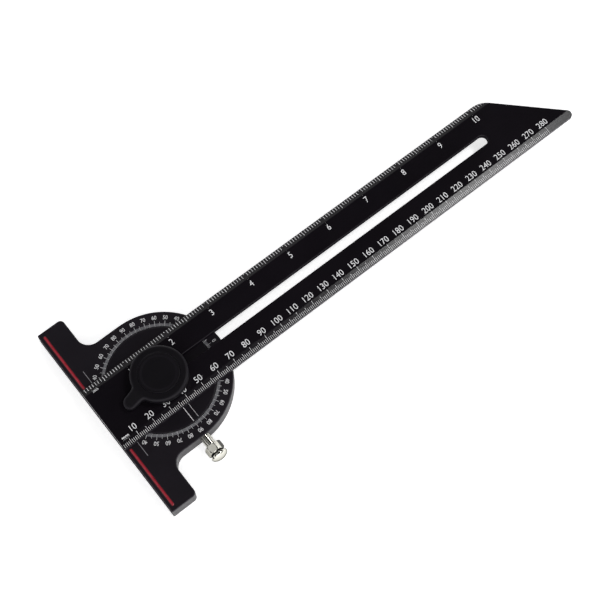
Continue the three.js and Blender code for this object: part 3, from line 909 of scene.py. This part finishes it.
def makeRule(material):
    look = rule
    steps = np.arange(1, look["millimetres"] + 1)
    ten, five = steps % 10 == 0, steps % 5 == 0
    length = np.where(ten, look["tickTen"], np.where(five, look["tickFive"], look["tickShort"]))
    ticks = edgeTicks(-1, faceX + steps * mm, length, look["lineWidth"])
    makeMarks("millimetre_marks", ticks, material, "blade")
    tens = range(10, look["millimetres"] + 1, 10)
    words = [(str(n), faceX + n * mm, look["numeralY"], 0) for n in tens]
    numerals = setNumerals(words, *look["numeralSize"], bladeHeight)
    makeMarks("millimetre_numerals", numerals, material, "blade")
    steps = np.arange(1, look["inchSixteenths"] + 1)
    whole, halves = steps % 16 == 0, steps % 8 == 0
    length = np.where(whole, look["wholeInch"], np.where(halves, look["halfInch"], look["sixteenth"]))
    start = faceX + look["inchZero"]
    ticks = edgeTicks(1, start + steps * look["inch"] / 16, length, look["inchLineWidth"])
    makeMarks("inch_marks", ticks, material, "blade")
    wholeInches = range(1, look["inchLast"] + 1)
    words = [(str(n), start + n * look["inch"], look["inchNumeralY"], 0) for n in wholeInches]
    numerals = setNumerals(words, *look["inchNumeralSize"], bladeHeight)
    makeMarks("inch_numerals", numerals, material, "blade")
    word = setNumerals([look["millimetreWord"]], *look["millimetreWordSize"], bladeHeight)
    makeMarks("millimetre_word", word, material, "blade")
    word = setNumerals([look["inchWord"]], *look["inchWordSize"], bladeHeight)
    makeMarks("inch_word", word, material, "blade")
    print("rule done")


leverLook = {
    "tabEnd": 23.4 * mm,
    "tabRootHalf": 5.2 * mm,
    "tabEndRadius": 3.6 * mm,
    "blend": 2.6 * mm,  # the fillets between the hub and the tab
    "angle": 188,
    "rim": 1.5 * mm,
    "slopeStart": 13.5 * mm,  # where the tab's top starts to fall
    "slope": 0.3125,
    "footInset": 1.4 * mm,
    "footHeight": 3.0 * mm,
    "roomGap": 0.14 * mm,
    "roomDepth": 1.3 * mm,
    "washerRoomRadius": 8.8 * mm,
    "washerRoomHeight": 2.4 * mm,
    "boreRadius": 5.2 * mm,
    "lip": 0.25 * mm,
    "creaseHalf": 3.2 * mm,  # half the line across the tab where its slope starts
}


# The hub's circle running through two small fillets into the tab's tapering sides and round end.
# A fillet's centre is one fillet radius outside both the hub's circle and the tab's side.
def leverOutline(inset):
    look = leverLook
    radius = leverHigh.x - inset
    blend = look["blend"] + inset
    endX = look["tabEnd"] - look["tabEndRadius"]
    taper = math.atan2(look["tabRootHalf"] - look["tabEndRadius"], endX)
    normal = np.array([math.sin(taper), math.cos(taper)])
    along = np.array([math.cos(taper), -math.sin(taper)])
    away = look["tabRootHalf"] * math.cos(taper) - inset + blend
    centre = normal * away + along * math.sqrt((radius + blend) ** 2 - away ** 2)
    leave = math.degrees(math.atan2(centre[1], centre[0]))
    tilt = math.degrees(taper)
    fillet = arc(*centre, blend, -90 - tilt, leave - 180, 8)
    end = arc(endX, 0, look["tabEndRadius"] - inset, tilt - 90, 90 - tilt, 24)
    hub = arc(0, 0, radius, leave, 360 - leave, 110)[1:-1]
    return np.concatenate([fillet[::-1] * [1, -1], end, fillet, hub])


# Lowers the tab evenly from the hub's rim out to its end, in proportion to how high a point is.
def leverSlope(points):
    out = points.copy()
    drop = leverLook["slope"] * np.maximum(points[:, 0] - leverLook["slopeStart"], 0)
    level = (points[:, 2] - leverLow.z) / (leverHigh.z - leverLow.z)
    out[:, 2] -= drop * level
    return out


def makeLever(material):
    look = leverLook
    low, high = leverLow.z, leverHigh.z
    top = rounded(leverOutline, low, high, look["rim"], 8)
    foot = [
        (leverOutline(look["footInset"]), low, 0.0),
        (leverOutline(0.7 * look["footInset"]), low + 0.3 * look["footHeight"], 0.0),
        (leverOutline(0), low + look["footHeight"], 0.0),
    ]
    outside = foot + top[-10:]
    room = capHigh.x + look["roomGap"]
    ledge = high - look["roomDepth"]
    washerTop = low + look["washerRoomHeight"]
    lip = look["lip"]
    inner = [
        (circle(room + 2 * lip, 110), high, 0.0),
        (circle(room + lip, 110), high, 0.2),
        (circle(room, 110), high - lip, 1.0),
        (circle(room, 110), ledge, 0.0),
        (circle(look["boreRadius"], 110), ledge, 0.0),
        (circle(look["boreRadius"], 110), washerTop, 0.0),
        (circle(look["washerRoomRadius"], 110), washerTop, 0.0),
        (circle(look["washerRoomRadius"], 110), low, 0.0),
    ]
    across = np.linspace(-look["creaseHalf"], look["creaseHalf"], 9)
    crease = np.column_stack([np.full(9, look["slopeStart"]), across])
    skins = [
        wall(outside),
        wall(inner),
        cap([outside[-1][0], inner[0][0]], high, extra=crease),
        cap([outside[0][0], inner[-1][0]], low, up=False),
    ]
    angle = math.radians(look["angle"])
    c, s = math.cos(angle), math.sin(angle)
    turn = np.array([[c, -s, 0], [s, c, 0], [0, 0, 1]])
    skins = [(leverSlope(points) @ turn.T, faces, wearAndShade) for points, faces, wearAndShade in skins]
    makePiece("lever_body", skins, material, "lever", ["lock_lever"], sharp=40)
    print("lever done")


capLook = {"ring": 1.4 * mm, "ringSlope": 0.6 * mm, "sink": 0.08 * mm, "edgeRound": 0.35 * mm}


# A disc pressed into the lever, whose face is sunk a little inside a flat ring.
def makeLeverCap(material):
    look = capLook
    low, high, radius = capLow.z, capHigh.z, capHigh.x
    ring = radius - look["ring"]
    skin = turned(softProfile([
        (0, low),
        (radius, low),
        (radius, high),
        (ring, high),
        (ring - look["ringSlope"], high - look["sink"]),
        (0, high - look["sink"]),
    ], look["edgeRound"]), 128)
    makePiece("lever_cap_disc", [skin], material, "lever", ["lever_cap"], sharp=40)
    print("lever cap done")


plungerLook = {
    "hexAcross": 8.2 * mm,
    "hexInner": 42.0 * mm,
    "hexTurn": 15,  # degrees that the top flat leans towards -X
    "cornerCut": 0.93,  # share of the corners' radius that the chamfers leave
    "chamfer": 0.5 * mm,
    "neckRadius": 2.65 * mm,
    "threadPitch": 0.7 * mm,
    "threadDepth": 0.07 * mm,
    "stemHole": 1.2 * mm,  # the radius that the index pin's stem runs in
    "stemRoom": 49.0 * mm,  # how far the stem's hole reaches into the knob
    "springRoom": 1.9 * mm,
    "springEnd": 45.9 * mm,  # leaves room for the coil at the end of its travel
    "dome": 2.4 * mm,
    "knobNeck": 3.0 * mm,
    "waist": 0.7 * mm,  # how much of the knob's inner end takes painted shade
    "paintedShadeFrom": -15,  # degrees round the hexagon between which its shade is painted
    "paintedShadeTo": 45,
}


# The hexagon as a polar curve, half its width over the cosine of the angle from its nearest flat,
# cut by a circle of radius `limit`, as a nut's chamfer cuts it.
def hexLoop(limit):
    steps = 96
    look = plungerLook
    angle = np.arange(steps) * 360 / steps
    fromFlat = (angle - 90 - look["hexTurn"] + 30) % 60 - 30
    radius = np.minimum(look["hexAcross"] / 2 / np.cos(np.radians(fromFlat)), limit)
    return np.stack([np.cos(np.radians(angle)), np.sin(np.radians(angle))], 1) * radius[:, None]


# Painted reflection and shade: the outer half of one flat, on the +X side, takes the dark metal where a
# dark reflection falls, and so do the faces across the sleeve, in the shade between the hexagon and the
# parts beside it.
def sleeveDull(centres, normals):
    look = plungerLook
    height = (sleeveLow.z + sleeveHigh.z) / 2
    around = np.degrees(np.arctan2(centres[:, 2] - height, centres[:, 0]))
    onFlat = (around > look["paintedShadeFrom"]) & (around < look["paintedShadeTo"]) & (centres[:, 1] < -look["hexInner"])
    return onFlat | (np.abs(normals[:, 1]) > 0.8)


# A tube with a threaded neck, then a hexagon whose two faces are chamfered by cones. The thread's
# radius falls and rises as the cosine of the way along it.
def makeSleeve(material, dullFinishOrShade):
    look = plungerLook
    height = (sleeveLow.z + sleeveHigh.z) / 2
    outer, inner = -sleeveLow.y, -sleeveHigh.y
    hexInner, chamfer = look["hexInner"], look["chamfer"]
    corner = look["hexAcross"] / math.sqrt(3)
    neck, face = look["neckRadius"], look["hexAcross"] / 2 * 0.97
    springRoom, springEnd = circle(look["springRoom"], 96), look["springEnd"]
    levels = [(springRoom, inner, 0.0), (circle(neck - 0.3 * mm, 96), inner, 0.0)]
    for z in np.arange(inner + 0.3 * mm, hexInner - 0.3 * mm, look["threadPitch"] / 6):
        depth = look["threadDepth"] * (0.5 - 0.5 * math.cos(2 * math.pi * z / look["threadPitch"]))
        levels.append((circle(neck - depth, 96), z, 0.0))
    levels += [
        (circle(neck - 0.1 * mm, 96), hexInner, 0.0),
        (circle(face, 96), hexInner, 0.0),
        (hexLoop(corner * look["cornerCut"]), hexInner + 0.4 * chamfer, 0.0),
        (hexLoop(corner), hexInner + chamfer, 0.0),
        (hexLoop(corner), outer - chamfer, 0.0),
        (hexLoop(corner * look["cornerCut"]), outer - 0.4 * chamfer, 0.0),
        (circle(face, 96), outer, 0.0),
        (circle(look["stemHole"], 96), outer, 0.0),
        (circle(look["stemHole"], 96), springEnd, 0.0),
        (springRoom, springEnd, 0.0),
        (springRoom, inner, 0.0),
    ]
    skin = layAlongPlunger(wall(levels), height)
    replaced = ["plunger_sleeve"]
    makePiece("plunger_sleeve_body", [skin], material, "stock", replaced, 25, dullFinishOrShade, sleeveDull)
    print("sleeve done")


# The knob's waist, behind its rim, takes the dark metal as painted shade in the groove between the knob
# and the hexagon.
def knobDull(centres, normals):
    return centres[:, 1] > knobHigh.y - plungerLook["waist"]


# A pull knob: a waisted neck, a rim, and a dome whose outline is a quarter of an ellipse.
def makeKnob(material, dullFinishOrShade):
    height = (knobLow.z + knobHigh.z) / 2
    outer, inner, radius = -knobLow.y, -knobHigh.y, (knobHigh.x - knobLow.x) / 2
    dome, neck = plungerLook["dome"], plungerLook["knobNeck"]
    hole, room = plungerLook["stemHole"], plungerLook["stemRoom"]
    profile = softProfile([
        (0, room),
        (hole, room),
        (hole, inner),
        (neck, inner),
        (neck - 0.2 * mm, inner + 0.5 * mm),
        (radius - 0.3 * mm, inner + 0.6 * mm),
        (radius, inner + 0.9 * mm),
        (radius, outer - dome),
    ], 0.15 * mm)
    for a in np.linspace(0, math.pi / 2, 14)[1:]:
        profile.append((radius * math.cos(a), outer - dome + dome * math.sin(a), 0.0))
    skin = layAlongPlunger(turned(profile, 96), height)
    replaced = ["plunger_knob"]
    makePiece("plunger_knob_body", [skin], material, "plunger", replaced, 40, dullFinishOrShade, knobDull)
    print("knob done")


plateLook = {
    "windowCorner": 6.12 * mm,  # from the middle to a corner of the hexagonal window
    "screwCircle": 15 * mm,
    "seatRadius": 2.7 * mm,
    "throatRadius": 1.4 * mm,
    "seatLand": 0.3 * mm,
    "seatDepth": 1.5 * mm,
    "rim": 0.25 * mm,
}


# The retainer plate with its hexagonal window and its four countersinks.
def makeRetainer(material):
    look = plateLook
    top, radius, rim = plateHigh.z, plateHigh.x, look["rim"]
    window = circle(look["windowCorner"], 6)
    around = np.radians(45 + 90 * np.arange(4))
    centres = look["screwCircle"] * np.stack([np.cos(around), np.sin(around)], 1)
    seats = [circle(look["seatRadius"], 48, *centre) for centre in centres]
    throats = [circle(look["throatRadius"], 48, *centre) for centre in centres]
    skins = [
        wall([
            (circle(radius - rim, 160), 0, 0.0),
            (circle(radius, 160), rim, 1.0),
            (circle(radius, 160), top, 0.0),
        ]),
        wall([(window, top, 0.0), (window, 0, 0.0)]),
        cap([circle(radius, 160), window, *throats], top),
        cap([circle(radius - rim, 160), window, *seats], 0, up=False),
    ]
    for seat, throat in zip(seats, throats):
        skins.append(wall([
            (throat, top, 0.0),
            (throat, look["seatDepth"], 0.0),
            (seat, look["seatLand"], 0.0),
            (seat, 0, 0.0),
        ]))
    makePiece("retainer_plate_body", skins, material, "turret", ["retainer_plate"])
    print("retainer done")


bpy.context.scene.view_settings.view_transform = "Standard"
makeCamera()
makeLights()
makeWorld()
makeFloor()
print("stage done")

bladeBlack = makeAnodised("bladeAnodising", (60, 3600, 3600), 0.24, 0.27, 1.1, 0.25)
stockBlack = makeAnodised("stockAnodising", (900, 900, 900), 0.34, 0.44, 1.8, 0.25)
turretBlack = makeAnodised("turretAnodising", (1200, 1200, 1200), 0.30, 0.40, 1.5, 0.25)
millBlack = makeAnodised("milledAnodising", (2200, 200, 2200), 0.7, 0.85, 1.6, 0.03)
marking = makeMarking("markingWhite", (0.80, 0.80, 0.82), (0.95, 0.95, 0.96))
softMarking = makeMarking("markingGrey", (0.24, 0.24, 0.26), (0.40, 0.40, 0.42))
redEnamel = makeRed()
moulding = makeMoulding()
steel = makeMetal("machinedSteel", (0.36, 0.36, 0.37), (0.48, 0.48, 0.49), 0.28, 0.42, 900)
plateSteel = makeMetal("turnedPlate", (0.26, 0.26, 0.27), (0.34, 0.34, 0.35), 0.30, 0.42, 420, ringed=True)
nickel = makeMetal("polishedNickel", (0.64, 0.63, 0.57), (0.76, 0.75, 0.68), 0.05, 0.10, 700, rim=0.05)
# A dark nickel that is not the metal's own colour: it paints shade and a dark reflection on the plunger.
paintedShadeNickel = makeMetal("paintedShadeNickel", (0.10, 0.10, 0.095), (0.17, 0.17, 0.16), 0.25, 0.40, 700, rim=0.2)
brass = makeMetal("turnedBrass", (0.56, 0.38, 0.13), (0.68, 0.48, 0.18), 0.25, 0.38, 600, ringed=True)
nylon = makeNylon()
print("materials done")

makeStock(stockBlack, millBlack)
makeInlays(redEnamel)
makeTurret(turretBlack)
makeBlade(bladeBlack, millBlack)
makeProtractor(marking, softMarking)
makeTurretMarks(marking)
makeRule(marking)
makeLever(moulding)
makeLeverCap(moulding)
makeSleeve(nickel, paintedShadeNickel)
makeKnob(nickel, paintedShadeNickel)
makeRetainer(plateSteel)

keptNodes = {
    steel: (
        "front_guide_pin", "rear_guide_pin", "clamp_bolt", "spring_washer", "index_pin", "plunger_spring",
        "retainer_screw_1", "retainer_screw_2", "retainer_screw_3", "retainer_screw_4",
    ),
    nylon: ("friction_washer",),
    brass: ("lever_insert",),
}
for finish, nodeNames in keptNodes.items():
    for nodeName in nodeNames:
        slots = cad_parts[nodeName].data.materials
        slots.clear()
        slots.append(finish)
print("kept nodes done")
